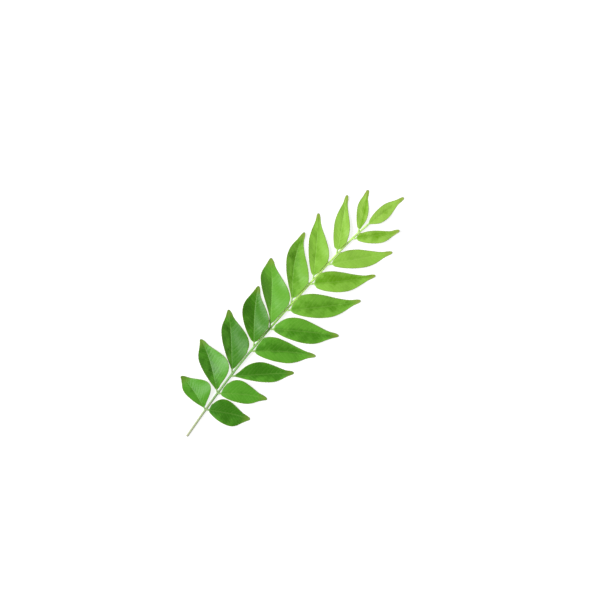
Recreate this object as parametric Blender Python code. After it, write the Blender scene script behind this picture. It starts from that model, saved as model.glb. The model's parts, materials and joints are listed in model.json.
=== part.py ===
"""A fresh sprig of curry leaves: one cut leaf with its leaflets, lying face up.

The leaf is pinnate. A thin stalk, the rachis, runs from the cut end to the terminal leaflet, and
side leaflets leave it in nearly opposite pairs. Each leaflet is one piece: its short stalk
(petiolule), its midrib and its thin blade grew together, and it breaks off whole at its joint.

Frame: metres, +Z up from the table. +Y runs from the cut end towards the terminal leaflet, and
+X is the right-hand side seen from above. The origin is at the middle of the footprint.
The growth table below is in millimetres and degrees, measured from the cut end.
"""

import math
from collections import namedtuple

import bmesh
import bpy
from mathutils import Vector

for leftover in list(bpy.data.objects):
    bpy.data.objects.remove(leftover)

MM = 0.001

# Rachis: its centreline as (distance along Y, sideways X, height Z), and its radii.
RACHIS_ROUTE = (
    (0.0, 0.0, 0.72),
    (22.0, -2.7, 1.45),
    (50.0, -5.4, 2.25),
    (75.0, -6.7, 2.70),
    (100.0, -7.3, 2.85),
    (128.0, -7.4, 2.70),
    (155.0, -7.2, 2.35),
    (172.0, -6.5, 2.10),
    (183.0, -5.2, 1.95),
)
RACHIS_END = RACHIS_ROUTE[-1][0]
RACHIS_BASE_RADIUS = 0.80
RACHIS_TIP_RADIUS = 0.60
RACHIS_SIDES = 8
RACHIS_STEP = 4.0
NODE_SWELLING = 0.12
NODE_SWELLING_REACH = 2.5

# Every leaflet
STALK_RADIUS = 0.43
STALK_RAISE = 0.15
JOINT_GAP = 0.30
BLADE_THICKNESS = 0.32
MIDRIB_THICKNESS = 0.85
LEAST_HALF_WIDTH = 0.75
BOW_SKEW = 1.2

# Where the rings stand along a leaflet, as shares of the way from its joint to its tip, and where
# the points of a ring stand across it: margin, half-way, midrib, half-way, margin.
STALK_STATIONS = (0.0, 0.015)
BLADE_STATIONS = (
    0.035, 0.06, 0.095, 0.145, 0.21, 0.29, 0.38, 0.47, 0.56, 0.65, 0.74, 0.82, 0.89, 0.95, 0.985,
)
CROSSINGS = (-1.0, -0.5, 0.0, 0.5, 1.0)

# Where along a leaflet the midrib is lowest, and where the fold of the blade is full and fades.
TOUCH_STATION = 0.80
FOLD_FULL = 0.40
FOLD_FADES = 0.66
FOLD_AT_TIP = 0.12
# The rise of a half blade from midrib to margin is partly straight and partly a hollow curve.
FOLD_STRAIGHT = 0.7
FOLD_HOLLOW = 0.3

# Half-width of the blade along a leaflet, as a share of its widest place. The side towards the
# sprig's tip is full near the base, and the side towards the cut end is widest near the middle.
APICAL_OUTLINE = (
    (0.0, 0.0),
    (0.05, 0.20),
    (0.10, 0.48),
    (0.17, 0.78),
    (0.25, 0.95),
    (0.34, 1.0),
    (0.45, 0.93),
    (0.58, 0.71),
    (0.72, 0.43),
    (0.84, 0.23),
    (0.93, 0.14),
    (1.0, 0.0),
)
BASAL_OUTLINE = (
    (0.0, 0.0),
    (0.06, 0.19),
    (0.12, 0.40),
    (0.22, 0.66),
    (0.36, 0.89),
    (0.50, 1.0),
    (0.61, 0.98),
    (0.72, 0.80),
    (0.83, 0.48),
    (0.92, 0.23),
    (1.0, 0.0),
)
APICAL_WIDEST = 0.34
BASAL_WIDEST = 0.50

# The growth table. side is +1 right, -1 left; node is the distance of the joint from the cut end;
# heading is the angle from +Y; apical and basal are the half-widths seen from above, and the
# bellies are the stations where they are widest; bow is how far the midrib bends towards the
# sprig's tip; the folds are the slopes of the two halves, below zero where a half droops;
# leave is the angle at which the stalk rises;
# clear is the height of the midrib's underside over the table at its low place, below zero where
# the leaflet is pressed on the table; curl is how far the tip turns up beyond it.
Leaflet = namedtuple(
    "Leaflet",
    "name side node length heading apical basal apical_belly basal_belly bow"
    " apical_fold basal_fold leave clear curl",
)
LEAFLETS = (
    Leaflet("leaflet_left_1", -1, 21.1, 27.5, 78.0, 11.5, 5.5, 0.45, 0.59, 1.0, 11, 17, 13, 0.8, 1.2),
    Leaflet("leaflet_left_2", -1, 34.5, 37.5, 59.5, 11.8, 6.5, 0.45, 0.59, 1.4, 13, 30, 13, 0.8, 0.4),
    Leaflet("leaflet_left_3", -1, 50.5, 42.5, 45.5, 12.0, 6.0, 0.46, 0.60, 0.5, 9, 32, 12, -0.35, 0.5),
    Leaflet("leaflet_left_4", -1, 73.2, 40.5, 38.0, 10.1, 8.0, 0.42, 0.56, -1.3, 13, 26, 12, 0.8, 0.3),
    Leaflet("leaflet_left_5", -1, 89.5, 46.5, 41.5, 12.4, 7.3, 0.42, 0.68, 0.8, 10, 31, 9, -0.35, 0.8),
    Leaflet("leaflet_left_6", -1, 111.0, 48.0, 32.0, 10.8, 5.7, 0.38, 0.62, -3.0, 8, 23, 8, 0.8, 1.5),
    Leaflet("leaflet_left_7", -1, 132.0, 44.5, 37.5, 9.0, 5.2, 0.37, 0.51, 0.3, 7, 13, 11, -0.35, 0.3),
    Leaflet("leaflet_left_8", -1, 154.8, 40.0, 32.0, 5.9, 5.0, 0.39, 0.46, 0.0, 7, 7, 12, 0.9, 1.0),
    Leaflet("leaflet_left_9", -1, 174.8, 29.5, 29.0, 3.8, 4.3, 0.45, 0.54, 0.0, 8, 8, 13, -0.35, 0.2),
    Leaflet("leaflet_right_1", 1, 21.4, 30.0, 60.5, 8.8, 8.0, 0.37, 0.55, 0.8, 12, 15, 10, -0.35, 0.6),
    Leaflet("leaflet_right_2", 1, 34.4, 33.0, 54.5, 9.4, 6.0, 0.38, 0.52, 1.4, 11, 16, 12, 0.6, 0.0),
    Leaflet("leaflet_right_3", 1, 48.6, 42.0, 45.0, 8.3, 5.6, 0.45, 0.59, 0.2, 13, 16, 9, -0.35, 0.5),
    Leaflet("leaflet_right_4", 1, 69.9, 43.0, 52.5, 9.5, 7.5, 0.29, 0.51, 1.4, 13, 15, 11, -0.35, 0.9),
    Leaflet("leaflet_right_5", 1, 88.9, 46.0, 53.5, 8.8, 7.8, 0.36, 0.53, 0.6, 12, 16, 12, 0.8, 0.0),
    Leaflet("leaflet_right_6", 1, 105.1, 50.0, 40.5, 9.5, 7.5, 0.33, 0.50, -0.7, 12, 16, 11, -0.35, 1.0),
    Leaflet("leaflet_right_7", 1, 128.5, 44.0, 40.5, 7.4, 7.2, 0.31, 0.45, -0.8, 6, 12, 12, 0.5, 0.4),
    Leaflet("leaflet_right_8", 1, 145.7, 44.0, 37.0, 6.9, 6.3, 0.37, 0.51, 0.0, -4, 12, 10, -0.35, 0.8),
    Leaflet("leaflet_right_9", 1, 169.3, 32.0, 38.0, 3.5, 5.6, 0.38, 0.52, -0.3, -4, 14, 13, 1.0, 0.6),
    Leaflet("leaflet_terminal", -1, 183.2, 30.0, -10.8, 4.8, 4.4, 0.38, 0.46, 0.0, 4, 3, 8, -0.35, 0.6),
)

# Fresh green of the blades, from the old leaflets at the base to the young ones at the tip.
OLD_GREEN = (0.065, 0.235, 0.028)
YOUNG_GREEN = (0.190, 0.420, 0.030)
STALK_GREEN = (0.340, 0.520, 0.200)
LEAF_ROUGHNESS = 0.4
STALK_ROUGHNESS = 0.5


def interpolate(knots, place):
    """Read a smooth curve through (place, value) knots with sloped cubic pieces."""
    last = len(knots) - 1
    place = min(max(place, knots[0][0]), knots[last][0])
    i = 0
    while i < last - 1 and place > knots[i + 1][0]:
        i += 1

    def slope(k):
        low, high = max(k - 1, 0), min(k + 1, last)
        return (knots[high][1] - knots[low][1]) / (knots[high][0] - knots[low][0])

    span = knots[i + 1][0] - knots[i][0]
    u = (place - knots[i][0]) / span
    return (
        (2 * u**3 - 3 * u**2 + 1) * knots[i][1]
        + (u**3 - 2 * u**2 + u) * span * slope(i)
        + (3 * u**2 - 2 * u**3) * knots[i + 1][1]
        + (u**3 - u**2) * span * slope(i + 1)
    )


def smoothstep(low, high, value):
    """Ease from 0 at low to 1 at high."""
    u = min(max((value - low) / (high - low), 0.0), 1.0)
    return u * u * (3 - 2 * u)


def rachis_point(y):
    """The middle of the rachis at a distance y from the cut end."""
    sideways = interpolate([(p[0], p[1]) for p in RACHIS_ROUTE], y)
    height = interpolate([(p[0], p[2]) for p in RACHIS_ROUTE], y)
    return Vector((sideways, y, height))


def rachis_direction(y):
    """The way the rachis runs at a distance y from the cut end."""
    return (rachis_point(y + 0.5) - rachis_point(y - 0.5)).normalized()


def rachis_radius(y):
    """The rachis thins towards its tip and swells a little at each joint."""
    share = y / RACHIS_END
    plain = RACHIS_BASE_RADIUS + (RACHIS_TIP_RADIUS - RACHIS_BASE_RADIUS) * share
    nearest = min(abs(y - leaflet.node) for leaflet in LEAFLETS)
    return plain * (1 + NODE_SWELLING * (1 - smoothstep(0, NODE_SWELLING_REACH, nearest)))


def material(name, colour, roughness):
    """A plain Principled material."""
    made = bpy.data.materials.new(name)
    made.use_nodes = True
    shader = made.node_tree.nodes["Principled BSDF"]
    shader.inputs["Base Color"].default_value = (*colour, 1.0)
    shader.inputs["Roughness"].default_value = roughness
    shader.inputs["Metallic"].default_value = 0.0
    return made


def loft(name, rings, finish, tip=None):
    """Close a skin over rings of points given in mm: flat caps, or a last ring drawn to a point."""
    mesh = bmesh.new()
    rows = [[mesh.verts.new(point * MM) for point in ring] for ring in rings]
    count = len(rows[0])
    for row, following in zip(rows, rows[1:]):
        for i in range(count):
            j = (i + 1) % count
            mesh.faces.new((row[i], row[j], following[j], following[i]))
    mesh.faces.new(rows[0])
    if tip is None:
        mesh.faces.new(rows[-1])
    else:
        point = mesh.verts.new(tip * MM)
        for i in range(count):
            mesh.faces.new((rows[-1][i], rows[-1][(i + 1) % count], point))
    bmesh.ops.recalc_face_normals(mesh, faces=mesh.faces)
    data = bpy.data.meshes.new(name)
    mesh.to_mesh(data)
    mesh.free()
    data.materials.append(finish)
    data.shade_smooth()
    piece = bpy.data.objects.new(name, data)
    bpy.context.collection.objects.link(piece)
    return piece


def build_rachis():
    """The stalk of the whole leaf: an eight-sided tube with a flat side down, cut square at its base."""
    steps = round(RACHIS_END / RACHIS_STEP)
    rings = []
    for k in range(steps + 1):
        y = RACHIS_END * k / steps
        centre = rachis_point(y)
        ahead = rachis_direction(y)
        across = ahead.cross(Vector((0, 0, 1))).normalized()
        above = across.cross(ahead)
        radius = rachis_radius(y)
        turns = [2 * math.pi * (i + 0.5) / RACHIS_SIDES for i in range(RACHIS_SIDES)]
        ring = [centre + radius * (math.cos(a) * across + math.sin(a) * above) for a in turns]
        for point in ring:
            point.z = max(point.z, 0.0)
        rings.append(ring)
    return loft("rachis", rings, material("stalk green", STALK_GREEN, STALK_ROUGHNESS))


def half_width(outline, widest, belly, t):
    """The outline's share at station t, with its widest place moved to belly."""
    return interpolate(outline, t ** (math.log(widest) / math.log(belly)))


def spine_height(leaflet, start, t):
    """Underside of the midrib: up from the joint, over an arch, down to its low place, then a curl."""
    if t >= TOUCH_STATION:
        return leaflet.clear + leaflet.curl * ((t - TOUCH_STATION) / (1 - TOUCH_STATION)) ** 2
    u = t / TOUCH_STATION
    reach = leaflet.length * TOUCH_STATION
    rise = math.tan(math.radians(leaflet.leave)) * reach
    ease = 3 * u**2 - 2 * u**3
    return start * (1 - ease) + rise * (u - 2 * u**2 + u**3) + leaflet.clear * ease


def fold_share(t):
    """The share of its full fold at station t: a blade opens from its stalk and flattens at its tip."""
    return smoothstep(0, FOLD_FULL, t) * (1 - (1 - FOLD_AT_TIP) * smoothstep(FOLD_FADES, 1, t))


def aim(leaflet):
    """Unit vectors seen from above: along the leaflet, and across it towards the sprig's tip."""
    heading = math.radians(leaflet.heading) * leaflet.side
    along = Vector((math.sin(heading), math.cos(heading), 0))
    return along, Vector((-along.y, along.x, 0)) * leaflet.side


def ends_rachis(leaflet):
    """Whether a leaflet goes on from the end of the rachis and not from its side."""
    return leaflet.node >= RACHIS_END


def parting(leaflet):
    """The angle between a side leaflet and the rachis, seen from above."""
    route = rachis_direction(leaflet.node)
    return aim(leaflet)[0].angle(Vector((route.x, route.y, 0)))


def joint_distance(leaflet):
    """How far from its node on the rachis a stalk starts, to stand JOINT_GAP clear of the rachis."""
    if ends_rachis(leaflet):
        return JOINT_GAP
    angle = parting(leaflet)
    side = rachis_radius(leaflet.node) + JOINT_GAP
    return (side + STALK_RADIUS * math.cos(angle)) / math.sin(angle)


def room_beside_rachis(leaflet, t, bow):
    """The widest that the half blade towards the sprig's tip may be at station t, clear of the rachis."""
    if ends_rachis(leaflet):
        return math.inf
    angle = parting(leaflet)
    clear_of_rachis = rachis_radius(leaflet.node) + JOINT_GAP
    return (leaflet.length * t * math.sin(angle) - clear_of_rachis) / math.cos(angle) - bow


def stalk_ring(middle, across):
    """The points round the stalk: the corners of a regular shape, in pairs one over the other."""
    pairs = len(CROSSINGS)
    over = []
    under = []
    for pair in range(pairs):
        turn = math.pi * (pairs - pair - 0.5) / pairs
        beside = middle + across * STALK_RADIUS * math.cos(turn)
        half = Vector((0, 0, STALK_RADIUS * math.sin(turn)))
        over.append(beside + half)
        under.append(beside - half)
    return over + under[::-1]


def blade_ring(leaflet, middle, across, t, room):
    """The points round the blade, from margin to margin, each over its underside."""
    apical = leaflet.apical * half_width(APICAL_OUTLINE, APICAL_WIDEST, leaflet.apical_belly, t)
    basal = leaflet.basal * half_width(BASAL_OUTLINE, BASAL_WIDEST, leaflet.basal_belly, t)
    keel = (MIDRIB_THICKNESS - BLADE_THICKNESS) * (1 - t)
    over = []
    under = []
    for share in CROSSINGS:
        reach = min(apical, room) if share > 0 else basal
        slope = leaflet.apical_fold if share > 0 else leaflet.basal_fold
        reach = max(reach, LEAST_HALF_WIDTH)
        steepness = math.tan(math.radians(slope) * fold_share(t))
        rise = reach * steepness * (FOLD_STRAIGHT * abs(share) + FOLD_HOLLOW * share**2)
        height = middle.z + rise + (0 if share == 0 else keel)
        beside = middle + across * reach * share
        foot = Vector((beside.x, beside.y, max(height, 0.0)))
        under.append(foot)
        over.append(foot + Vector((0, 0, BLADE_THICKNESS + (keel if share == 0 else 0))))
    return over + under[::-1]


def leaflet_rings(leaflet):
    """Every ring of a leaflet, from the cap at its joint to the last one before its tip, and the tip."""
    along, across = aim(leaflet)
    node = rachis_point(leaflet.node)
    start = node.z + STALK_RAISE - STALK_RADIUS
    first = joint_distance(leaflet) / leaflet.length
    rings = []
    for share in STALK_STATIONS + BLADE_STATIONS:
        t = first + (1 - first) * share
        bend = t**BOW_SKEW
        bow = leaflet.bow * 4 * bend * (1 - bend)
        middle = Vector((node.x, node.y, spine_height(leaflet, start, t)))
        middle += along * leaflet.length * t + across * bow
        if share in STALK_STATIONS:
            rings.append(stalk_ring(middle + Vector((0, 0, STALK_RADIUS)), across))
        else:
            rings.append(blade_ring(leaflet, middle, across, t, room_beside_rachis(leaflet, t, bow)))
    tip = Vector((node.x, node.y, leaflet.clear + leaflet.curl)) + along * leaflet.length
    tip.z = max(tip.z, 0.0) + BLADE_THICKNESS / 2
    return rings, tip


def build_leaflet(leaflet):
    """One leaflet, in a green between the old and the young ones by its place on the rachis."""
    age = leaflet.node / RACHIS_END
    green = [old + (young - old) * age for old, young in zip(OLD_GREEN, YOUNG_GREEN)]
    rings, tip = leaflet_rings(leaflet)
    return loft(leaflet.name, rings, material(leaflet.name + " green", green, LEAF_ROUGHNESS), tip)


def centre_footprint(pieces):
    """Hang every piece on one empty, placed so that the origin is at the middle of the footprint."""
    places = [vertex.co for piece in pieces for vertex in piece.data.vertices]
    middle_x = (min(p.x for p in places) + max(p.x for p in places)) / 2
    middle_y = (min(p.y for p in places) + max(p.y for p in places)) / 2
    sprig = bpy.data.objects.new("sprig", None)
    bpy.context.collection.objects.link(sprig)
    sprig.location = (-middle_x, -middle_y, 0.0)
    for piece in pieces:
        piece.parent = sprig


centre_footprint([build_rachis()] + [build_leaflet(leaflet) for leaflet in LEAFLETS])
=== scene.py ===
# %% [markdown]
# # A fresh sprig of curry leaves
# A curry leaf is one compound leaf: a thin stalk, the rachis, with pointed leaflets along both
# sides and one at its tip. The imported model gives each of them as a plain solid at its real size
# and place. This notebook keeps those places and gives every piece its fine surface.

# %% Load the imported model
import json
import math

import bpy
import numpy as np
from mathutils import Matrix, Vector


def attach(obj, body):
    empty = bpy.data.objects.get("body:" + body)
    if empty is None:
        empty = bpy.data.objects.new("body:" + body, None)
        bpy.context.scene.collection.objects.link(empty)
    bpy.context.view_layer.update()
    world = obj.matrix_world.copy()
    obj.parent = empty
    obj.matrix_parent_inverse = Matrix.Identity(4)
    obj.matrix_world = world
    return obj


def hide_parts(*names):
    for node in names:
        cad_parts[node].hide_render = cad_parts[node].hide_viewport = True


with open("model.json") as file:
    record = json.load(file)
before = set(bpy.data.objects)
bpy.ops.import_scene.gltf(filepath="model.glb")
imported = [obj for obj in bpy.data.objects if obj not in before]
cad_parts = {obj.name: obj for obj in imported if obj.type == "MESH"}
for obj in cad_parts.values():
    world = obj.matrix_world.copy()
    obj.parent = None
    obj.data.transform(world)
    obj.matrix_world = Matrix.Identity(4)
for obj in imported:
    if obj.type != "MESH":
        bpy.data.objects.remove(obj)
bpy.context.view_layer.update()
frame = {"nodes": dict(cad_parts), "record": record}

# %% [markdown]
# ## Two small tools for shapes
# A leaf has no straight line in it, so nearly every size here is a smooth curve through a few
# known places. `smooth_through` draws that curve, and `ease` turns something on gently.
# Lengths are in millimetres until a mesh is made.

# %% Curves
MM = 0.001


def smooth_through(knots, values, places):
    """Values of a smooth curve through knots, at any places: cubic pieces with matching slopes."""
    slopes = np.gradient(values, knots)
    i = np.clip(np.searchsorted(knots, places, side="right") - 1, 0, len(knots) - 2)
    span = knots[i + 1] - knots[i]
    u = np.clip((places - knots[i]) / span, 0, 1)
    return (
        (2 * u**3 - 3 * u**2 + 1) * values[i]
        + (u**3 - 2 * u**2 + u) * span * slopes[i]
        + (3 * u**2 - 2 * u**3) * values[i + 1]
        + (u**3 - u**2) * span * slopes[i + 1]
    )


def softened(knots, values, places):
    """The same curve with its corners rounded, as growing tissue has none."""
    samples, soft = 600, 12
    fine = np.linspace(knots[0], knots[-1], samples + 1)
    curve = smooth_through(knots, values, fine)
    pad = 4 * soft
    before = 2 * curve[0] - curve[pad:0:-1]
    after = 2 * curve[-1] - curve[-2 : -pad - 2 : -1]
    kernel = np.exp(-0.5 * (np.arange(-pad, pad + 1) / soft) ** 2)
    longer = np.concatenate([before, curve, after])
    rounded = np.convolve(longer, kernel / kernel.sum(), "same")[pad:-pad]
    return np.interp(places, fine, rounded)


def ease(low, high, value):
    """0 below low, 1 above high, and a soft step between them."""
    u = np.clip((value - low) / (high - low), 0, 1)
    return u * u * (3 - 2 * u)


print("half-way through an ease:", ease(0, 1, 0.5))

# %% [markdown]
# ## Reading the stalk from the model
# The solids are lofts: rings of corners, one after the other. Reading the rings back gives the
# centreline and the thickness of the rachis without repeating a single number of the design.

# %% Rings of the rachis
RACHIS_SIDES = 8


def corners_of(name):
    """The corner points of a solid, each one once, in mm."""
    found = [vertex.co for vertex in frame["nodes"][name].data.vertices]
    return np.unique(np.round(found, 6), axis=0) / MM


stalk_rings = corners_of("rachis")
stalk_rings = stalk_rings[np.argsort(stalk_rings[:, 1])].reshape(-1, RACHIS_SIDES, 3)
stalk_line = stalk_rings.mean(axis=1)
stalk_radii = np.linalg.norm(stalk_rings - stalk_line[:, None], axis=2).mean(axis=1)
stalk_start, stalk_end = stalk_line[0, 1], stalk_line[-1, 1]
print("rachis:", len(stalk_line), "rings of the solid")
print("its radius in mm:", stalk_radii.max().round(2), "to", stalk_radii.min().round(2))

# %% [markdown]
# ## The rings of a leaflet
# Each leaflet is a loft as well. Its corners are sorted along its length, and wherever the next
# one lies a step farther on, a new ring starts. The two corners of a ring that stand farthest
# apart are its margins. The rachis is needed as a fine line here, to tell which end is the joint.

# %% Rings of a leaflet
# Gaps between rings in mm, first along a rough direction and then along the true one.
ROUGH_GAP = 0.4
RING_GAP = 0.1


def rings_along(corners, along, gap):
    """Corners in groups, one for each ring, in order along a direction."""
    places = corners[:, :2] @ along
    order = np.argsort(places)
    breaks = np.where(np.diff(places[order]) > gap)[0] + 1
    return [corners[group] for group in np.split(order, breaks)]


def widest_pair(ring):
    """The distance of the two margins of a ring seen from above, and their direction."""
    gaps = np.linalg.norm(ring[:, None, :2] - ring[None, :, :2], axis=2)
    first, second = (ring[i, :2] for i in np.unravel_index(gaps.argmax(), gaps.shape))
    return gaps.max(), (second - first) / max(gaps.max(), 1e-9)


CENTRELINE_POINTS = 2000
fine_y = np.linspace(stalk_start, stalk_end, CENTRELINE_POINTS)
fine_sideways = smooth_through(stalk_line[:, 1], stalk_line[:, 0], fine_y)


def from_stalk(point):
    """How far a point is from the centreline of the rachis, seen from above."""
    return np.hypot(fine_sideways - point[0], fine_y - point[1]).min()


print("the rachis bends sideways by", np.ptp(fine_sideways).round(1), "mm")

# %% [markdown]
# ## Reading the leaflets
# A leaflet's ends are its corners that stand farthest apart, and the end nearer to the rachis is
# the joint. In each ring the outer corners are the margins and the middle one is the midrib.
# Where a leaflet lies flat on the table the model may lack corners that lie in one plane, so the inner
# places are only read from rings that are complete. The solids keep a small gap at each joint, so it is
# also worked out how far back the middle of the rachis lies. The feet stop a little short of that, so
# that two leaflets of a pair do not meet inside the rachis.

# %% Form of each leaflet
FULL_RING = 5  # columns in a ring, on the top and underneath
BLADE_SOLID = 0.32  # thickness of the solid blade in mm
INTO_STALK = 4.0  # how far back to look for the middle of the rachis, in mm
STEP_BACK = 0.05
NEARLY_THERE = 0.9  # how much of that way a foot goes


class Form:
    """What is read from one leaflet's solid."""


def read_leaflet(name):
    """The joint, the directions, the margins and the inner places of a leaflet's solid."""
    corners = corners_of(name)
    apart = np.linalg.norm(corners[:, None, :2] - corners[None, :, :2], axis=2)
    ends = [corners[i, :2] for i in np.unravel_index(apart.argmax(), apart.shape)]
    ends.sort(key=from_stalk)
    rough = (ends[1] - ends[0]) / apart.max()
    pairs = map(widest_pair, rings_along(corners, rough, ROUGH_GAP))
    across = max(pairs, key=lambda pair: pair[0])[1]
    form = Form()
    form.name = name
    form.across = across * np.sign(across[1])
    form.along = np.array([form.across[1], -form.across[0]])
    form.along *= np.sign(form.along @ rough)
    *rings, tip = rings_along(corners, form.along, RING_GAP)
    form.joint = (rings[0][:, :2].max(axis=0) + rings[0][:, :2].min(axis=0)) / 2
    form.length = (tip[0, :2] - form.joint) @ form.along
    margins, middles = [], []
    for ring in rings:
        x = ((ring[:, :2] - form.joint) @ form.along).mean()
        sides = np.round((ring[:, :2] - form.joint) @ form.across, 2)
        heights = ((at, ring[sides == at, 2]) for at in np.unique(sides))
        columns = [(at, height.max(), height.min()) for at, height in heights]
        margins.append((x, *columns[0][:2], *columns[-1][:2]))
        if len(ring) == 2 * FULL_RING:
            middles.append((x, *columns[2], columns[1][1], columns[3][1]))
    end_across = (tip[0, :2] - form.joint) @ form.across
    end_top = tip[0, 2] + BLADE_SOLID / 2
    margins.append((form.length, end_across, end_top, end_across, end_top))
    middles.append((form.length, end_across, end_top, end_top - BLADE_SOLID, end_top, end_top))
    form.margins = np.array(margins).T
    form.middles = np.array(middles).T
    steps = np.arange(0, INTO_STALK, STEP_BACK)
    nearest = np.argmin([from_stalk(form.joint - step * form.along) for step in steps])
    form.reach_back = NEARLY_THERE * steps[nearest]
    return form


leaflet_names = sorted(name for name in frame["nodes"] if name.startswith("leaflet"))
forms = [read_leaflet(name) for name in leaflet_names]
for form in forms:
    print(form.name, "length", form.length.round(1), "reaches back", form.reach_back.round(2))

# %% [markdown]
# ## From rings to a mesh
# Leaflets and rachis are both skins over rings of points. Quads join one ring to the next and a
# fan closes each end. Blender's own loft tools need curves drawn by hand; faces listed from the
# rings need nothing else, and there are no stray ones.

# %% Faces of a skin
def skin_faces(count, sides):
    """The quads between the rings and the fans at both ends, as numbers of points."""
    k, i = (grid.ravel() for grid in np.meshgrid(np.arange(count - 1), np.arange(sides), indexing="ij"))
    here, ahead, following = k * sides, (k + 1) * sides, (i + 1) % sides
    quads = np.stack([here + i, here + following, ahead + following, ahead + i], 1)
    i = np.arange(sides)
    following = (i + 1) % sides
    last = (count - 1) * sides
    near = np.stack([following, i, np.full(sides, count * sides)], 1)
    far = np.stack([last + i, last + following, np.full(sides, count * sides + 1)], 1)
    return quads, near, far


print("faces over 3 rings of 8 points:", sum(map(len, skin_faces(3, 8))))

# %% [markdown]
# ## Unrolling a skin
# A texture can only be baked where every face has a patch of its own. The UV map of a skin is
# laid out like an unrolled tube, with both directions in proportion to real lengths, and the
# two fans lie as narrow strips beyond its ends, so that nothing overlaps.

# %% UV map of a skin
UV_RIM = 0.02
UV_FAN = UV_RIM * 0.8


def unrolled(rings):
    """UV corners of the faces that skin_faces lists, in the same order."""
    count, sides = rings.shape[:2]
    k, i = (grid.ravel() for grid in np.meshgrid(np.arange(count - 1), np.arange(sides), indexing="ij"))
    widest = rings[np.linalg.norm(np.ptp(rings, axis=1), axis=1).argmax()]
    steps = np.linalg.norm(np.roll(widest, -1, axis=0) - widest, axis=1)
    around = np.concatenate([[0], np.cumsum(steps)]) / steps.sum()
    middles = rings.mean(axis=1)
    lengths = np.concatenate([[0], np.cumsum(np.linalg.norm(np.diff(middles, axis=0), axis=1))])
    ahead = UV_RIM + (1 - 2 * UV_RIM) * lengths / lengths[-1]
    u, next_u, v, next_v = ahead[k], ahead[k + 1], around[i], around[i + 1]
    half_way = (around[1:] + around[:-1]) / 2

    def corners(*pairs):
        return np.stack([np.stack(np.broadcast_arrays(*pair), 1) for pair in pairs], 1)

    return (
        corners((u, v), (u, next_v), (next_u, next_v), (next_u, v)),
        corners((UV_FAN, around[1:]), (UV_FAN, around[:-1]), (0.0, half_way)),
        corners((1 - UV_FAN, around[:-1]), (1 - UV_FAN, around[1:]), (1.0, half_way)),
    )


print("rim of the UV map:", UV_RIM)

# %% [markdown]
# ## Skin and stored values
# `skin` makes the mesh. The signed volume of the quads tells if the faces look inwards, and then
# all of them are turned round. `note` stores values at the points, which a material can read.

# %% Skin over rings
def skin(name, rings):
    """A closed smooth mesh over rings of points in mm, all with the same number of points."""
    flat = np.vstack([rings.reshape(-1, 3), rings[0].mean(axis=0), rings[-1].mean(axis=0)])
    faces, uvs = skin_faces(*rings.shape[:2]), unrolled(rings)
    a, b, c, d = (flat[faces[0][:, n]] for n in range(4))
    volume = sum(np.einsum("ij,ij->i", a, np.cross(*pair)).sum() for pair in ((b, c), (c, d)))
    if volume < 0:
        faces, uvs = ([part[:, ::-1] for part in parts] for parts in (faces, uvs))
    mesh = bpy.data.meshes.new(name)
    mesh.from_pydata((flat * MM).tolist(), [], [face for part in faces for face in part.tolist()])
    layer = mesh.uv_layers.new(name="OFBake")
    layer.uv.foreach_set("vector", np.concatenate([part.reshape(-1) for part in uvs]))
    mesh.shade_smooth()
    piece = bpy.data.objects.new(name, mesh)
    bpy.context.scene.collection.objects.link(piece)
    return piece


def note(piece, name, rings_of_values):
    """Store a value of three numbers at every point of a skin, for its material to read."""
    values = rings_of_values.reshape(-1, 3)
    ends = [rings_of_values[0].mean(axis=0), rings_of_values[-1].mean(axis=0)]
    stored = piece.data.attributes.new(name, "FLOAT_VECTOR", "POINT")
    stored.data.foreach_set("vector", np.vstack([values, ends]).astype(np.float32).ravel())


# %% [markdown]
# ## The grid of a blade
# A curry leaflet is a thin, rather stiff blade, folded up in a shallow valley along its midrib.
# A subdivided plane with a Solidify modifier could make one, but its edge would be square and
# its midrib no thicker than the rest. So the blade is lofted like the solid, only finer: each
# ring has a row of points over the top from margin to margin, and one back along the underside.
# Points crowd where the form turns fastest: in the little stalk, at the midrib and at the edges.

# %% Rings along a leaflet
RINGS = (30, 132, 18)  # in the little stalk, in the blade and in its tip
BLADE_FROM, TIP_FROM = 0.09, 0.96  # where these begin, as a share of the length


def stations(form):
    """Places of the rings along a leaflet, closer together at the stalk and at the tip."""
    stalk, blade, tip = RINGS
    length = form.length
    to_tip = np.sin(np.linspace(0, math.pi / 2, tip))
    return np.concatenate([
        np.linspace(-form.reach_back, BLADE_FROM * length, stalk, endpoint=False),
        np.linspace(BLADE_FROM * length, TIP_FROM * length, blade, endpoint=False),
        length * (TIP_FROM + (1 - TIP_FROM) * to_tip),
    ])


print("rings in a leaflet:", sum(RINGS))

# %% [markdown]
# ## Beside the rachis
# Where the base of a blade comes close to the rachis, the real blade rests against it. The
# solids keep clear of each other, so here the margin reaches out by what is missing.

# %% Reach to the rachis
# How far a margin may reach out, how near it comes beside the rachis, and how far it laps over
# where it runs above the crest. All in mm.
REACH_OUT = 0.6
BESIDE, OVER = 0.08, 0.08


def reach_to_rachis(form, x, mid, wide):
    """How much farther a margin may reach so that it meets the rachis beside it."""
    margin = form.joint + x[:, None] * form.along + (mid + wide)[:, None] * form.across
    radius = np.interp(margin[:, 1], stalk_line[:, 1], stalk_radii)
    room = np.array([from_stalk(point) for point in margin]) - radius
    crest = np.interp(margin[:, 1], stalk_line[:, 1], stalk_line[:, 2]) + radius
    top = smooth_through(form.margins[0], form.margins[4], np.clip(x, 0, form.length))
    gap = BESIDE - (BESIDE + OVER) * ease(0.1, 0.3, top - BLADE_SOLID - crest)
    return ease(1.0, 0.6, room) * np.clip(room - gap, 0, REACH_OUT) * ease(0.005, 0.03, x / form.length)


print("a margin may reach out by", REACH_OUT, "mm")

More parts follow.
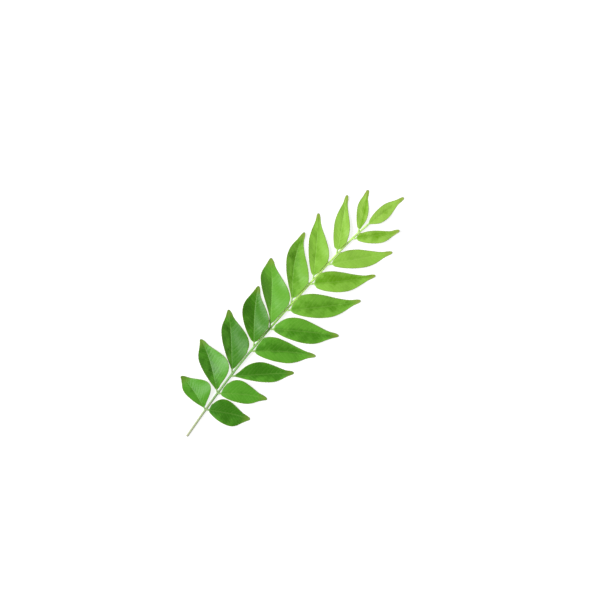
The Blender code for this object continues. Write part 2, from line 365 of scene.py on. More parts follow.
# %% [markdown]
# ## The outline
# The margin of a curry leaflet is finely scalloped, and its tip is blunt at close range. The
# model's rings give the wide form. On top of it comes a wave along the margin, uneven as
# growth is, and an end that is rounded off like half an ellipse.

# %% Outline of a blade
# All lengths are in mm.
SCALLOP, SCALLOP_DEPTH = 1.9, 0.06
SCALLOP_DRIFT, DRIFT_OVER = 1.3, (2.0, 3.0)  # how far its place shifts, in radians
UNEVEN, UNEVEN_OVER = 0.4, (1.2, 1.8)  # how much its depth changes, as a share
TIP_ROUND = 0.6  # the length that is rounded off
TIP_HALF, TIP_SPREAD, TIP_REACH = 0.62, 0.15, 7.0  # half-width of the tip, spreading over 7 mm
NARROWEST = 0.3


def outline(form, x, curve, mid, chance):
    """Half-widths of the basal half (-1) and of the apical half (1) at every ring."""
    margin_x, basal_at, _, apical_at, _ = form.margins
    t = np.clip(x / form.length, 0, 1)
    from_tip = form.length - x
    blunt = np.sqrt(np.clip(1 - (1 - from_tip / TIP_ROUND).clip(0, 1) ** 2, 0.004, 1))
    depth = SCALLOP_DEPTH * ease(0.15, 0.3, t) * ease(1.0, 0.9, t)
    reach = {}
    for side, at in ((-1, basal_at), (1, apical_at)):
        drawn = np.maximum(side * (curve(margin_x, at) - mid), 0)
        least = (TIP_HALF + TIP_SPREAD * from_tip) * ease(TIP_REACH, TIP_REACH / 3, from_tip)
        wide = np.hypot(drawn, least)
        if side > 0:
            wide += reach_to_rachis(form, x, mid, wide)
        drift = SCALLOP_DRIFT * np.sin(x / chance.uniform(*DRIFT_OVER))
        turns = 2 * math.pi * x / SCALLOP + drift + chance.uniform(0, 6)
        uneven = 1 - UNEVEN + UNEVEN * np.sin(x / chance.uniform(*UNEVEN_OVER))
        reach[side] = np.maximum(wide - depth * uneven * (1 + np.cos(turns)), NARROWEST) * blunt
    return reach


print("scallops in 10 mm of margin:", round(10 / SCALLOP, 1))

# %% [markdown]
# ## The columns of the grid
# Each ring has columns from one margin to the other, evenly spaced by the midrib and then wider,
# with an extra one in the rounded edge. `Blade` keeps everything that is worked out on this grid
# while one leaflet is shaped.

# %% Grid of a blade
EDGE = 0.15  # width of the rounded edge in mm
EDGE_COLUMN = 0.7  # where in it the extra column lies
INNER = 41  # columns between the edges
CROWDING = 1.7
MIDRIB_ZONE = 1.3  # even spacing this far from the midrib, in mm


class Blade:
    """The grid of one leaflet: rings along it, columns from margin to margin."""


def lay_grid(form, reach):
    """Spread the columns over the width: `a` is the distance from the midrib."""
    blade = Blade()
    blade.turns = np.linspace(-1, 1, INNER + 4)
    blade.side = np.where(blade.turns < 0, -1, 1)[None]
    blade.wide = np.where(blade.side > 0, reach[1][:, None], reach[-1][:, None])
    body = np.maximum(blade.wide - EDGE, 0.5 * blade.wide)
    core = np.minimum(MIDRIB_ZONE, body)
    spread = np.abs(np.concatenate([[-1, -1], np.linspace(-1, 1, INNER), [1, 1]]))[None]
    a = core * spread + (body - core) * spread**CROWDING
    a[:, [1, -2]] += (blade.wide - body)[:, [1, -2]] * EDGE_COLUMN
    a[:, [0, -1]] = blade.wide[:, [0, -1]]
    blade.a = a * blade.side
    blade.share = np.abs(blade.a) / blade.wide
    return blade


print("columns over a blade:", INNER + 4)

# %% [markdown]
# ## The height of the sheet
# Between midrib and margin a blade is bowed, not flat. Three heights are known on each half, at
# the midrib, half-way and at the margin, so a parabola through them gives the height of any
# point. The model's blade is a little thicker than a real one, so only its top is followed.

# %% Drape the sheet
BLADE = 0.24  # thickness of the blade in mm


def drape(blade, form, curve):
    """Heights of the middle of the sheet, bowed from the midrib to both margins."""
    margin_x, _, basal_top, _, apical_top = form.margins
    middle_x, _, middle_top, middle_under, basal_half, apical_half = form.middles

    def both_sides(knots, basal, apical):
        return np.where(blade.side > 0, curve(knots, apical)[:, None], curve(knots, basal)[:, None])

    share = blade.share
    blade.low = curve(middle_x, middle_top)[:, None]
    blade.keel = curve(middle_x, middle_under)[:, None]
    half = both_sides(middle_x, basal_half, apical_half)
    high = both_sides(margin_x, basal_top, apical_top)
    bowed = blade.low * (1 - share) * (1 - 2 * share)
    bowed = bowed + half * 4 * share * (1 - share) + high * share * (2 * share - 1)
    blade.sheet = bowed - BLADE_SOLID + BLADE / 2


print("the blade is", BLADE, "mm thick, the solid", BLADE_SOLID)

# %% [markdown]
# ## Waves
# A fresh leaflet is never quite flat: its margins ripple and the blade bulges softly. Sines of a
# drawn length and start do for both. They fade where the sheet lies on the table.

# %% Waves
# Heights in mm. A ripple's length is drawn in mm, and a bulge is 2 pi times its numbers long.
RIPPLE, RIPPLE_LENGTH = 0.14, (8.5, 12.0)
BULGE, BULGE_ALONG, BULGE_ACROSS = 0.22, (3.2, 4.2), (3.0, 5.0)


def let_it_wave(blade, x, t, chance):
    """Ripple the margins and let the blade bulge."""
    free = ease(0.12, 0.30, t) * ease(1.0, 0.85, t) * ease(0.25, 1.6, blade.sheet)
    start = np.where(blade.side > 0, chance.uniform(0, 6), chance.uniform(0, 6))
    ripple = np.sin(2 * math.pi * x / chance.uniform(*RIPPLE_LENGTH) + start)
    ripple = RIPPLE * blade.share**2 * ripple
    bulge = x / chance.uniform(*BULGE_ALONG) + blade.a / chance.uniform(*BULGE_ACROSS)
    bulge = np.sin(bulge + chance.uniform(0, 6))
    blade.sheet = blade.sheet + free * (ripple + BULGE * bulge * ease(0.0, 0.5, blade.share))


print("ripples rise", RIPPLE, "mm and bulges", BULGE, "mm")

# %% [markdown]
# ## Veins
# Side veins leave the midrib in pairs, lean forward, bend further and fade before the margin. The
# blade swells a little between them. Veins are counted by a phase that grows by one from vein to
# vein, so that mesh and material agree on where they are.

# %% Veins
VEINS = 13
VEIN_LEAN, VEIN_BEND = 0.70, 0.35
VEIN_STAGGER = 0.2  # half the step from a vein to its partner, in veins
VEIN_DRIFT, VEIN_JITTER = 0.12, 0.08  # how unevenly they follow each other, in veins
VEIN_ASLANT = 0.78  # a gap straight across slanting veins, as a share of it along the midrib
VEIN_HALF = 0.24  # in mm, as is the swelling
SWELL = 0.016


def vein_phase(x, blade, length, chance):
    """Counts the side veins: a whole number on each vein, growing towards the tip."""
    lean = VEIN_LEAN * np.abs(blade.a) + VEIN_BEND * blade.a**2 / np.maximum(blade.wide, 0.5)
    phase = (x - lean) * VEINS / length + VEIN_STAGGER * np.tanh(blade.a / 0.3)
    drift = VEIN_DRIFT * np.sin(2.1 * phase + chance.uniform(0, 6))
    return phase + drift + VEIN_JITTER * np.sin(5.3 * phase)


def raise_veins(blade, x, t, length, chance):
    """Note where the veins run, and swell the sheet between them."""
    blade.phase = vein_phase(x, blade, length, chance)
    gap = np.abs(blade.phase - np.round(blade.phase)) * length / VEINS * VEIN_ASLANT
    blade.strength = ease(0.06, 0.16, t) * ease(0.99, 0.80, t) * (1 - 0.85 * blade.share**3)
    blade.vein = blade.strength * np.exp(-((gap / VEIN_HALF) ** 2))
    swell = blade.strength * SWELL * np.cos(2 * math.pi * (blade.phase - 0.5))
    swell = swell * ease(0, 0.2, blade.share)
    blade.sheet = blade.sheet + swell * ease(0.1, 0.6, blade.sheet)


print("side veins on each half of a blade:", VEINS)

# %% [markdown]
# ## Thickness
# The blade is about a quarter of a millimetre thick and its edge is rounded. On top a shallow
# groove follows the midrib; below, midrib and veins stand proud. A Solidify modifier would give
# one thickness everywhere, so top and underside are worked out apart.

# %% Thickness of a blade
# All in mm. The midrib is narrow at the tip of a leaflet and wider at its foot.
GROOVE, GROOVE_HALF = 0.05, 0.30
RIB_HALF, RIB_WIDENS = 0.30, 0.45
VEIN_SUNK, VEIN_RAISED = 0.012, 0.05
LOWEST = 0.02  # how near to the table anything comes


def thicken(blade, t):
    """Heights of the top and of the underside."""
    from_margin = np.clip((blade.wide - np.abs(blade.a)) / EDGE, 0, 1)
    edge = np.sqrt(1 - (1 - from_margin) ** 2)
    groove = GROOVE * np.exp(-((blade.a / GROOVE_HALF) ** 2)) * ease(1.0, 0.75, t)
    proud = np.maximum(blade.low - BLADE_SOLID - blade.keel, 0)
    aside = np.clip(blade.a / (RIB_HALF + RIB_WIDENS * (1 - t)), -1, 1)
    rib = proud * 0.5 * (1 + np.cos(math.pi * aside))
    under = np.maximum(blade.sheet - edge * (BLADE / 2 + VEIN_RAISED * blade.vein) - rib, LOWEST)
    top = blade.sheet + edge * (BLADE / 2 - groove - VEIN_SUNK * blade.vein)
    return np.maximum(top, under + LOWEST * edge), under


print("veins stand", VEIN_RAISED, "mm proud below")

# %% [markdown]
# ## The little stalk, and one whole leaflet
# Towards the joint the blade narrows into a short round stalk, the petiolule, which thickens
# just before it meets the rachis. Blending the flat section into a round one keeps all of it in
# a single skin. Its foot shrinks and sinks into the rachis, so that the two look grown together.
# The very tip of the blade has a small notch, as many curry leaflets have.

# %% Shape one leaflet
# Radius of the petiolule, what its foot adds, and the size of the notch, in mm.
PETIOLE = 0.46
PETIOLE_FOOT = 0.16
NOTCH = 0.16


def closed(over, below):
    """Rings from a row over the top and a row along the underside."""
    return np.concatenate([over, below[:, -2:0:-1]], axis=1)


def shape_leaflet(form, chance):
    """Rings of points of one leaflet, and the grid that they lie on."""
    x = stations(form)

    def curve(knots, values):
        return softened(knots, values, np.clip(x, 0, form.length))

    mid = curve(*form.middles[:2])
    blade = lay_grid(form, outline(form, x, curve, mid, chance))
    drape(blade, form, curve)
    blade.x = x[:, None]
    blade.t = np.clip(blade.x / form.length, 0, 1)
    let_it_wave(blade, blade.x, blade.t, chance)
    raise_veins(blade, blade.x, blade.t, form.length, chance)
    top, under = thicken(blade, blade.t)

    back = np.clip(-blade.x / form.reach_back, 0, 1)
    foot = PETIOLE + PETIOLE_FOOT * np.exp(-((blade.x + form.reach_back / 2) ** 2))
    foot = foot * (1 - 0.5 * ease(0.5, 1.0, back))
    centre = (blade.low + blade.keel) / 2
    middle = np.interp(form.joint[1], stalk_line[:, 1], stalk_line[:, 2])
    centre = centre + (middle - centre) * ease(0.2, 1.0, back)
    rise = foot * np.cos(math.pi * blade.turns / 2)[None]
    grown = blade.grown = ease(0.004, 0.055, blade.x / form.length)
    a = (1 - grown) * foot * np.sin(math.pi * blade.turns / 2)[None] + grown * blade.a
    top = (1 - grown) * (centre + rise) + grown * top
    under = (1 - grown) * (centre - rise) + grown * under
    along = blade.x - NOTCH * ease(0.97, 1.0, blade.t) * np.exp(-((a / NOTCH) ** 2))
    flat = form.joint + along[..., None] * form.along + (mid[:, None] + a)[..., None] * form.across
    return blade, closed(*(np.concatenate([flat, height[..., None]], axis=2) for height in (top, under)))


print("points in a ring of a leaflet:", 2 * (INNER + 4) - 2)

# %% [markdown]
# ## Tones, and values on the grid
# No two leaflets are the same green. Two seeded draws give each leaflet a tone and a lean from half to
# half; the lean is painted shade and painted light, drawing one half of a blade deeper and the other
# paler, as the half turned from the lamp and the half facing it would look. With its age these are stored
# on the mesh, next to the grid, and the material reads them there: such stored attributes follow the
# surface when it bends, which a pattern in space would not.

# %% Tone and grid values
TONES, HALF_SHADE_SEED = 100, 200  # seeds
# How far the painted shade and painted light of the two halves shift a blade's tone.
HALF_SHADE_DEPTH = 0.5
tones = np.random.default_rng(TONES).uniform(-1, 1, len(forms))
half_shade_leans = np.random.default_rng(HALF_SHADE_SEED).uniform(-1, 1, len(forms))


def note_grid(piece, name, blade, over, below=None):
    """Store three values of the grid on a leaflet, with others for the underside if need be."""
    ones = np.ones_like(blade.a)
    over, below = (np.stack([value * ones for value in row], axis=2) for row in (over, below or over))
    note(piece, name, closed(over, below))


print("tones of the leaflets:", tones.min().round(2), "to", tones.max().round(2))

# %% [markdown]
# ## Growing all the leaflets
# Every leaflet is shaped, skinned and given its values. The number of a leaflet seeds its own
# draws, so each one waves in its own way and still comes out the same on every run.

# %% Grow the leaflets
leaflets = {}
for form, tone, lean, seed in zip(forms, tones, half_shade_leans, range(len(forms))):
    blade, rings = shape_leaflet(form, np.random.default_rng(seed))
    piece = skin(form.name.replace("leaflet", "curry_leaflet"), rings)
    from_margin = blade.wide - np.abs(blade.a)
    age = np.clip((form.joint[1] - stalk_start) / (stalk_end - stalk_start), 0, 1)
    # One half of the blade is painted deeper and the other paler: painted shade and painted light of the
    # two halves of the fold.
    tone_and_half_shade = tone + HALF_SHADE_DEPTH * lean * blade.side * ease(0.0, 0.25, blade.share)
    note_grid(piece, "leaf_grid", blade, (blade.x, blade.a, blade.phase))
    note_grid(piece, "leaf_face", blade, (from_margin, blade.share, 1.0), (from_margin, blade.share, 0.0))
    note_grid(piece, "leaf_growth", blade, (blade.grown, form.length - blade.x, blade.strength))
    note_grid(piece, "leaf_age", blade, (age, tone_and_half_shade, 0.0))
    leaflets[form.name] = piece
print(len(leaflets), "leaflets of", len(piece.data.polygons), "faces each")

# %% [markdown]
# ## How thick the rachis is
# The stalk of the whole leaf thins steadily to the tip and swells where each leaflet joins. A
# straight line through the radii of the solid gives the first, and a soft bump at each joint
# the second. Its foot was cut square.

# %% Thickness of the rachis
STALK_FULLNESS = (0.96, 1.0)  # at the cut and at the tip, as a share of the solid
NODE_SWELL = 0.13  # what a joint adds, as a share
NODE_HALF, NODE_BACK = 1.3, 1.4  # its half-length and how far it lies behind the joint, in mm
CUT_ROUND, CUT_LENGTH = 0.10, 0.07  # the edge of the cut is slightly worn


def stalk_sizes(y):
    """The radius along the rachis, and how near the next joint is."""
    trend = np.polynomial.Polynomial.fit(stalk_line[:, 1], stalk_radii, 1)
    joints = np.array([form.joint[1] - NODE_BACK * form.along[1] for form in forms])
    near = np.exp(-(((y[:, None] - joints[None]) / NODE_HALF) ** 2)).max(axis=1)
    full = np.interp(y, [stalk_start, stalk_end], STALK_FULLNESS)
    cut = 1 - CUT_ROUND * np.exp(-(((y - stalk_start) / CUT_LENGTH) ** 2))
    return trend(y) * full * (1 + NODE_SWELL * near) * cut, near


print("a joint adds", round(100 * NODE_SWELL), "percent to the radius")

# %% [markdown]
# ## The rachis
# It is nearly round, with a shallow channel along its upper side and fine ribs. A curve with a
# bevel would make a plain tube; here the section is worked out turn by turn, so that the
# channel, the ribs and the swellings are all in the mesh.

# %% Shape the rachis
STALK_STEP = 0.5  # mm between rings, with two more by the cut
BY_THE_CUT = (0.06, 0.15)
STALK_ROUND = 48
CHANNEL, CHANNEL_HALF = 0.06, 0.36  # depth as a share of the radius, width in radians
LIP, LIP_AT, LIP_HALF = 0.02, 0.75, 0.25  # the raised lips on both sides of the channel
RIBS, RIB_HEIGHT = 9, 0.012
RIB_SWAY, RIB_SWAY_MM = 0.5, 9.0


def shape_rachis():
    """Rings of points of the rachis, and the grid that they lie on."""
    y = np.arange(stalk_start, stalk_end, STALK_STEP)
    y = np.unique(np.concatenate([y, [stalk_start + step for step in BY_THE_CUT], [stalk_end]]))
    x, z = (smooth_through(stalk_line[:, 1], stalk_line[:, axis], y) for axis in (0, 2))
    line = np.stack([x, y, z], axis=1)
    ahead = np.gradient(line, axis=0)
    ahead /= np.linalg.norm(ahead, axis=1)[:, None]
    across = np.cross(ahead, [0, 0, 1])
    across /= np.linalg.norm(across, axis=1)[:, None]
    above = np.cross(across, ahead)
    turn = 2 * math.pi * np.arange(STALK_ROUND) / STALK_ROUND
    from_top = np.abs((turn - math.pi / 2 + math.pi) % (2 * math.pi) - math.pi)
    lips = LIP * np.exp(-(((from_top - LIP_AT) / LIP_HALF) ** 2))
    channel = lips - CHANNEL * np.exp(-((from_top / CHANNEL_HALF) ** 2))
    ribs = RIB_HEIGHT * np.cos(RIBS * turn[None] + RIB_SWAY * np.sin(y[:, None] / RIB_SWAY_MM))
    radius, near = stalk_sizes(y)
    size = radius[:, None] * (1 + channel[None] + ribs)
    section = np.cos(turn)[None, :, None] * across[:, None] + np.sin(turn)[None, :, None] * above[:, None]
    rings = line[:, None] + size[..., None] * section
    rings[..., 2] = np.maximum(rings[..., 2], LOWEST)
    values = np.broadcast_arrays((y - stalk_start)[:, None], turn[None], near[:, None])
    return rings, np.stack(values, axis=2)


rings, stalk_grid = shape_rachis()
rachis = skin("curry_rachis", rings)
note(rachis, "stalk_place", stalk_grid)
print("rachis:", len(rachis.data.polygons), "faces")

# %% [markdown]
# ## Colours and nodes
# Colours are written as sRGB hex values and turned to linear light by one function. One more
# small function adds any shader node: it sets the node up, then sets or links its inputs, either
# in the order in which Blender shows them or by name, and hands back what the node gives out.

# %% Colour and node helpers
def linear(code):
    """A #rrggbb colour as linear light."""
    parts = [int(code[i : i + 2], 16) / 255 for i in (1, 3, 5)]
    return tuple(p / 12.92 if p <= 0.04045 else ((p + 0.055) / 1.055) ** 2.4 for p in parts) + (1.0,)


def add(tree, kind, inputs=(), stops=(), **settings):
    """Add a node with its settings and links. Gives its output, or all of them if it has several."""
    made = tree.nodes.new(kind)
    for key, value in settings.items():
        setattr(made, key, value)
    shown = [socket for socket in made.inputs if socket.enabled]
    for key, value in inputs.items() if isinstance(inputs, dict) else enumerate(inputs):
        socket = made.inputs[key] if isinstance(key, str) else shown[key]
        if isinstance(value, bpy.types.NodeSocket):
            tree.links.new(value, socket)
        else:
            socket.default_value = value
    for number, (place, code) in enumerate(stops):
        steps = made.color_ramp.elements
        step = steps[number] if number < len(steps) else steps.new(place)
        step.position = place
        step.color = linear(code)
    outputs = [socket for socket in made.outputs if socket.enabled]
    return outputs[0] if len(outputs) == 1 else outputs


SOFT = {"interpolation_type": "SMOOTHSTEP"}
RGBA = {"data_type": "RGBA"}


def even(*codes):
    """Colours spread evenly from 0 to 1, as stops of a ramp."""
    return [(number / (len(codes) - 1), code) for number, code in enumerate(codes)]


def blank_material(name):
    """A new material with an empty tree of nodes."""
    made = bpy.data.materials.new(name)
    made.use_nodes = True
    made.node_tree.nodes.clear()
    return made, made.node_tree


print("mid green in linear light:", [round(part, 3) for part in linear("#5a9a28")])

# %% [markdown]
# ## Reading the grid in a material
# A leaflet's finish hangs on where a point lies: on a vein, by the midrib, at the margin, near
# the tip, above or below. The attributes stored on the mesh say so. A wide noise of 6 mm gives
# the soft blotches that a living blade has, because no blade is evenly green.

# %% Places on a leaflet
MOTTLE_MM = 6.0
VEIN_NARROW = 0.13  # half-width of a side vein, as a share of the step from vein to vein
MIDRIB_MM = (0.10, 0.50)
UNDER_ZERO = 40.0  # added to the count of veins, so that it is never below zero


class Places:
    """The sockets that tell a leaf material where a point lies."""


def read_places(tree):
    """Add the nodes that read the stored grid. Gives their sockets by name."""
    vectors = {
        name: add(tree, "ShaderNodeAttribute", attribute_name=name)[1]
        for name in ("leaf_grid", "leaf_face", "leaf_growth", "leaf_age")
    }
    parts = {name: add(tree, "ShaderNodeSeparateXYZ", [vector]) for name, vector in vectors.items()}
    at = Places()
    along, aside, phase = parts["leaf_grid"]
    at.from_margin, at.share, at.above = parts["leaf_face"]
    at.grown, at.from_tip, strength = parts["leaf_growth"]
    # The tone read here holds the painted shade and light of the blade's halves as well as the leaflet's
    # own tone.
    at.age, at.tone, _ = parts["leaf_age"]
    at.flat = add(tree, "ShaderNodeCombineXYZ", [along, aside])
    mottle = {"Vector": at.flat, "Scale": 1 / MOTTLE_MM, "Detail": 3.0}
    at.mottle = add(tree, "ShaderNodeTexNoise", mottle)[0]
    counted = add(tree, "ShaderNodeMath", [phase, UNDER_ZERO], operation="ADD")
    off_vein = add(tree, "ShaderNodeMath", [counted, 0.5], operation="PINGPONG")
    side_vein = add(tree, "ShaderNodeMapRange", [off_vein, 0.0, VEIN_NARROW, 1.0, 0.0], **SOFT)
    at.side_vein = add(tree, "ShaderNodeMath", [side_vein, strength], operation="MULTIPLY")
    off_midrib = add(tree, "ShaderNodeMath", [aside], operation="ABSOLUTE")
    at.midrib = add(tree, "ShaderNodeMapRange", [off_midrib, *MIDRIB_MM, 1.0, 0.0], **SOFT)
    return at


print("a vein is up to", round(200 * VEIN_NARROW), "percent of the step from vein to vein")

# %% [markdown]
# ## The greens of a curry leaflet
# Chlorophyll under a clear waxy skin gives a deep green, which is why the colours here are well
# saturated. The oldest leaflets, at the foot, are darkest and the youngest are lime, so each
# colour is a row that the leaflet's age picks from.

# %% Greens by age
# Each row runs from the oldest leaflet, at the foot, to the youngest.
DEEP = even("#2a6a02", "#307003", "#3a7b04", "#5e9709", "#6aa012")
FRESH = even("#468b1c", "#4b901e", "#589a25", "#80b43a", "#92c04a")
PALE_VEINS = even("#8db45c", "#97bd60", "#a9cc6a", "#b8d874")
OLIVE_TIPS = even("#5f7c26", "#6c862c", "#829438", "#8c9c40")
PETIOLES = even("#84a862", "#8fb468", "#a2cc6e", "#b2dc78")
UNDER_SHADED, UNDER_LIT = even("#7f9c5c", "#93b068"), even("#8ba968", "#a1bd75")
UNDER_VEINS = "#b9cf8f"
OLIVE_MARGIN = "#7d8030"
BROWN_POINT = "#5b4a2a"
print("greens from the foot to the tip:", [code for _, code in DEEP])

# %% [markdown]
# ## Where each green goes
# The midrib and side veins are a little paler, the blade lightens from the midrib to the margin,
# and the margin and the tip turn olive where the thin tissue begins to dry. The underside has no
# waxy layer of dark cells: it is paler, greyer and more matt. Each is one mix over the last.

# %% Colour of the tissue
TONE_DEPTH = 0.38  # how much the drawn tones count beside the mottle
TO_MARGIN = (-0.20, 0.22)  # what lightness gains from the midrib to the margin
FROM_DEEP_TO_FRESH = (0.26, 0.74)
NET_PALE, VEIN_PALE, MIDRIB_PALE, UNDER_PALE = 0.07, 0.10, 0.13, 0.5
# Lengths in mm over which a colour fades out, and how strong it is where it starts.
MARGIN_FADE = (0.10, 0.70, 0.50)
TIP_FADE = (0.8, 7.5, 0.70)
POINT_FADE = (0.1, 0.8, 0.4)


def top_colour(tree, at, net_line):
    """The colour of the upper side."""
    deep, fresh, vein, tip = (
        add(tree, "ShaderNodeValToRGB", [at.age], stops=stops)[0]
        for stops in (DEEP, FRESH, PALE_VEINS, OLIVE_TIPS)
    )
    # The tone shifts the green with the painted shade and painted light of the blade's halves.
    shift = add(tree, "ShaderNodeMath", [at.tone, TONE_DEPTH, at.mottle], operation="MULTIPLY_ADD")
    lighter = add(tree, "ShaderNodeMapRange", [at.share, 0.0, 1.0, *TO_MARGIN])
    shift = add(tree, "ShaderNodeMath", [shift, lighter], operation="ADD")
    amount = add(tree, "ShaderNodeMapRange", [shift, *FROM_DEEP_TO_FRESH, 0.0, 1.0], **SOFT)
    colour = add(tree, "ShaderNodeMix", [amount, deep, fresh], **RGBA)
    for place, most in ((net_line, NET_PALE), (at.side_vein, VEIN_PALE), (at.midrib, MIDRIB_PALE)):
        amount = add(tree, "ShaderNodeMath", [place, most], operation="MULTIPLY")
        colour = add(tree, "ShaderNodeMix", [amount, colour, vein], **RGBA)
    olive = linear(OLIVE_MARGIN)
    for place, fade, over in ((at.from_margin, MARGIN_FADE, olive), (at.from_tip, TIP_FADE, tip)):
        amount = add(tree, "ShaderNodeMapRange", [place, *fade, 0.0], **SOFT)
        colour = add(tree, "ShaderNodeMix", [amount, colour, over], **RGBA)
    return colour


def under_colour(tree, at):
    """The colour of the underside."""
    shaded, lit = (
        add(tree, "ShaderNodeValToRGB", [at.age], stops=stops)[0]
        for stops in (UNDER_SHADED, UNDER_LIT)
    )
    colour = add(tree, "ShaderNodeMix", [at.mottle, shaded, lit], **RGBA)
    proud = add(tree, "ShaderNodeMath", [at.side_vein, at.midrib], operation="MAXIMUM")
    proud = add(tree, "ShaderNodeMath", [proud, UNDER_PALE], operation="MULTIPLY")
    return add(tree, "ShaderNodeMix", [proud, colour, linear(UNDER_VEINS)], **RGBA)


def leaf_colour(tree, at, net_line):
    """The colour of a leaflet all over, with its stalk and its brown point."""
    petiole = add(tree, "ShaderNodeValToRGB", [at.age], stops=PETIOLES)[0]
    both = [at.above, under_colour(tree, at), top_colour(tree, at, net_line)]
    colour = add(tree, "ShaderNodeMix", both, **RGBA)
    colour = add(tree, "ShaderNodeMix", [at.grown, petiole, colour], **RGBA)
    point = add(tree, "ShaderNodeMapRange", [at.from_tip, *POINT_FADE, 0.0], **SOFT)
    return add(tree, "ShaderNodeMix", [point, colour, linear(BROWN_POINT)], **RGBA)


print("a tip turns olive over its last", TIP_FADE[1], "mm")

# %% [markdown]
# ## The skin of a curry leaflet
# The skin is plant wax over living cells, never polished by anything: it gives a broad, soft
# shine rather than a mirror. Wax has an index of about 1.45, and a roughness of about 0.4 spreads
# the shine. Between the side veins lies a net of the finest veins, under half a millimetre
# wide in life. That is too fine to show from here, so it is drawn 0.8 mm wide. A bump is
# enough for it, as nothing that small changes the outline.

# %% Leaf materials
NET_MM = 0.8
NET_LINE = 0.16  # half-width of its lines in the units of the cells
WAX_IOR = 1.45
WAX_SHINE = 0.24
ROUGH_YOUNG, ROUGH_MATURE = 0.38, 0.40
ROUGH_SPREAD, ROUGHER_BELOW = 0.04, 0.20
RELIEF_MM = 0.03


def waxy_leaf(name, roughness):
    """Plant wax over living tissue: a broad, soft shine, and more matt below."""
    made, tree = blank_material(name)
    at = read_places(tree)
    net = {"Vector": at.flat, "Scale": 1 / NET_MM}
    cells = add(tree, "ShaderNodeTexVoronoi", net, feature="DISTANCE_TO_EDGE")
    net_line = add(tree, "ShaderNodeMapRange", [cells, 0.0, NET_LINE, 1.0, 0.0], **SOFT)
    colour = leaf_colour(tree, at, net_line)
    smoothest, roughest = roughness - ROUGH_SPREAD, roughness + ROUGH_SPREAD
    rough = add(tree, "ShaderNodeMapRange", [at.mottle, 0.3, 0.7, smoothest, roughest])
    matt = add(tree, "ShaderNodeMapRange", [at.above, 0.0, 1.0, ROUGHER_BELOW, 0.0])
    rough = add(tree, "ShaderNodeMath", [rough, matt], operation="ADD")
    sunk = add(tree, "ShaderNodeMath", [at.side_vein, 0.6], operation="MULTIPLY")
    relief = add(tree, "ShaderNodeMath", [cells, 0.5], operation="MULTIPLY")
    relief = add(tree, "ShaderNodeMath", [relief, sunk], operation="SUBTRACT")
    skin_relief = {"Height": relief, "Distance": RELIEF_MM * MM, "Strength": 0.8}
    shader = add(tree, "ShaderNodeBsdfPrincipled", {
        "Base Color": colour, "Roughness": rough, "IOR": WAX_IOR, "Specular IOR Level": WAX_SHINE,
        "Normal": add(tree, "ShaderNodeBump", skin_relief),
    })
    add(tree, "ShaderNodeOutputMaterial", [shader])
    return made


young = waxy_leaf("waxy_young_leaf", ROUGH_YOUNG)
mature = waxy_leaf("waxy_mature_leaf", ROUGH_MATURE)
print("leaf materials:", young.name, mature.name)

# %% [markdown]
# ## The skin of the rachis
# A green stalk has a firm, ribbed rind. It is pale lime near the tip and turns dull olive grey
# at its bare foot, where the rind has begun to cork, so that end looks dry. The cut face has
# dried to brown. Fine streaks run along the rind: noise drawn out along the stalk gives those,
# about 8 mm long and half as wide as a rib.

# %% Stalk material
STALK_COLOURS = (
    (0.0, "#a5a98a"), (0.08, "#9aa77c"), (0.17, "#6f9458"), (0.33, "#76ad58"), (0.50, "#79b148"),
    (0.58, "#98cb55"), (0.68, "#b4e06a"), (0.76, "#bae470"), (0.90, "#bae274"), (1.0, "#c0e482"),
)
STREAK_COLOUR, CUT_COLOUR = "#7d8f4c", "#6a5a38"
STREAKS_PER_MM = 0.12  # along the rind
STREAKS_PER_RADIAN = 3.0  # around it
STREAK_MOST = 0.25
CUT_FADE = (0.0, 0.5, 0.85)  # from the cut in mm, to where it ends, and how strong it is
RIND_ROUGHNESS = 0.5
RIND_RELIEF_MM = 0.04


def stalk_rind():
    """A firm green rind with fine streaks, drier towards the cut."""
    made, tree = blank_material("ribbed_green_rind")
    place = add(tree, "ShaderNodeAttribute", attribute_name="stalk_place")[1]
    from_cut = add(tree, "ShaderNodeSeparateXYZ", [place])[0]
    along = add(tree, "ShaderNodeMapRange", [from_cut, 0.0, stalk_end - stalk_start, 0.0, 1.0])
    colour = add(tree, "ShaderNodeValToRGB", [along], stops=STALK_COLOURS)[0]
    drawn_out = (STREAKS_PER_MM, STREAKS_PER_RADIAN, 0.0)
    stretched = add(tree, "ShaderNodeMapping", {"Vector": place, "Scale": drawn_out})
    streaks = add(tree, "ShaderNodeTexNoise", {"Vector": stretched, "Scale": 1.0, "Detail": 4.0})[0]
    streak = add(tree, "ShaderNodeMapRange", [streaks, 0.35, 0.7, 0.0, STREAK_MOST])
    colour = add(tree, "ShaderNodeMix", [streak, colour, linear(STREAK_COLOUR)], **RGBA)
    cut = add(tree, "ShaderNodeMapRange", [from_cut, *CUT_FADE, 0.0])
    colour = add(tree, "ShaderNodeMix", [cut, colour, linear(CUT_COLOUR)], **RGBA)
    rind_relief = {"Height": streaks, "Distance": RIND_RELIEF_MM * MM, "Strength": 0.8}
    shader = add(tree, "ShaderNodeBsdfPrincipled", {
        "Base Color": colour, "Roughness": RIND_ROUGHNESS, "IOR": WAX_IOR,
        "Normal": add(tree, "ShaderNodeBump", rind_relief),
    })
    add(tree, "ShaderNodeOutputMaterial", [shader])
    return made


rind = stalk_rind()
print("stalk material:", rind.name)

# %% [markdown]
# ## Putting the pieces in place of the solids
# Every fine piece stands for one solid of the model. It rides on the same body and takes its
# finish from the same material slot of the record. Nothing here moves a piece: each was
# made where its solid lies.

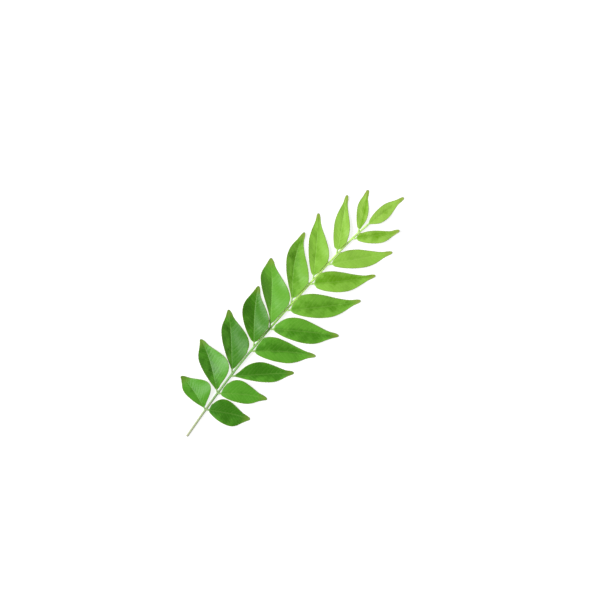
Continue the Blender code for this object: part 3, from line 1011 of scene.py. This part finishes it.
# %% Dress and place the pieces
rachis.data.materials.append(rind)
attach(rachis, "root")
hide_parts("rachis")
slots = {entry["node"]: entry["material_slot"] for entry in frame["record"]["subparts"]}
for name, piece in leaflets.items():
    piece.data.materials.append(young if slots[name] == "young_leaflet" else mature)
    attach(piece, "root")
    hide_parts(name)
print("dressed", len(leaflets) + 1, "pieces")

# %% [markdown]
# ## Table
# The sprig lies on a white light table, a sheet of opal acrylic that glows a little. That keeps
# the ground clean and white and lets shadows on it stay faint. A plain sheet with some
# emission is all it needs.

# %% Table
TABLE_HALF = 3.0  # in metres, so that its edge is out of sight
TABLE_GLOW = 0.80


def opal_acrylic():
    """A satin sheet of white acrylic, lit from behind."""
    made, tree = blank_material("opal_acrylic")
    shader = add(tree, "ShaderNodeBsdfPrincipled", {
        "Base Color": linear("#8f8f8f"), "Roughness": 0.6,
        "Emission Color": (1, 1, 1, 1), "Emission Strength": TABLE_GLOW,
    })
    add(tree, "ShaderNodeOutputMaterial", [shader])
    return made


corners = [(x * TABLE_HALF, y * TABLE_HALF, 0.0) for x, y in ((-1, -1), (1, -1), (1, 1), (-1, 1))]
sheet = bpy.data.meshes.new("light_table")
sheet.from_pydata(corners, [], [(0, 1, 2, 3)])
sheet.materials.append(opal_acrylic())
table = bpy.data.objects.new("light_table", sheet)
bpy.context.scene.collection.objects.link(table)
print("table:", 2 * TABLE_HALF, "m square")

# %% [markdown]
# ## Camera
# The camera looks straight down, as from a copy stand, and is turned so that the sprig lies
# aslant with its tip to the upper right. A long lens held high keeps the height of the leaflets
# from widening them.

# %% Camera
TURN = math.radians(42.17)
AIM = Vector((-0.00095, 0.01026, 0.0))
FIELD = 0.396  # width of the view at the table in metres
LENS, SENSOR = 95.0, 36.0

lens = bpy.data.cameras.new("camera")
lens.lens = LENS
lens.sensor_width = SENSOR
camera = bpy.data.objects.new("camera", lens)
camera.location = AIM + Vector((0, 0, FIELD * LENS / SENSOR))
camera.rotation_euler = (0, 0, TURN)
bpy.context.scene.collection.objects.link(camera)
bpy.context.scene.camera = camera
print("camera height in m:", round(camera.location.z, 3))

# %% [markdown]
# ## Light
# One large soft lamp stands to the camera's left, rather low, and that is what draws the fold
# of each blade: one half faces it and the other turns away. A pale room fills the shadows from
# the sides, and is darker overhead so that the wax doesn't veil the green.

# %% Light
KEY_RISE = math.radians(48)
KEY_TURN = math.radians(8)
KEY_AWAY, KEY_SIZE = 1.5, 0.9  # in metres
KEY_POWER = 32.0  # in watts
FILL_LEVEL, FILL_OVERHEAD = 0.42, 0.28
FILL_TURNS = (0.1, 0.8)  # heights in the room between which it darkens

left = Vector((-math.cos(TURN), -math.sin(TURN), 0))
up = Vector((-math.sin(TURN), math.cos(TURN), 0))
towards = math.cos(KEY_RISE) * (math.cos(KEY_TURN) * left + math.sin(KEY_TURN) * up)
towards.z = math.sin(KEY_RISE)
lamp = bpy.data.lights.new("key", "AREA")
lamp.shape = "DISK"
lamp.size = KEY_SIZE
lamp.energy = KEY_POWER
key = bpy.data.objects.new("key", lamp)
key.location = towards * KEY_AWAY
key.rotation_euler = towards.to_track_quat("Z", "Y").to_euler()
bpy.context.scene.collection.objects.link(key)

world = bpy.data.worlds.new("studio")
world.use_nodes = True
room = world.node_tree
room.nodes.clear()
upward = add(room, "ShaderNodeSeparateXYZ", [add(room, "ShaderNodeTexCoord")[0]])[2]
glow = add(room, "ShaderNodeMapRange", [upward, *FILL_TURNS, FILL_LEVEL, FILL_OVERHEAD], **SOFT)
fill = add(room, "ShaderNodeBackground", {"Color": (1, 1, 1, 1), "Strength": glow})
add(room, "ShaderNodeOutputWorld", [fill])
bpy.context.scene.world = world
bpy.context.scene.view_settings.view_transform = "Standard"
print("lamp at", [round(part, 2) for part in key.location], "m")
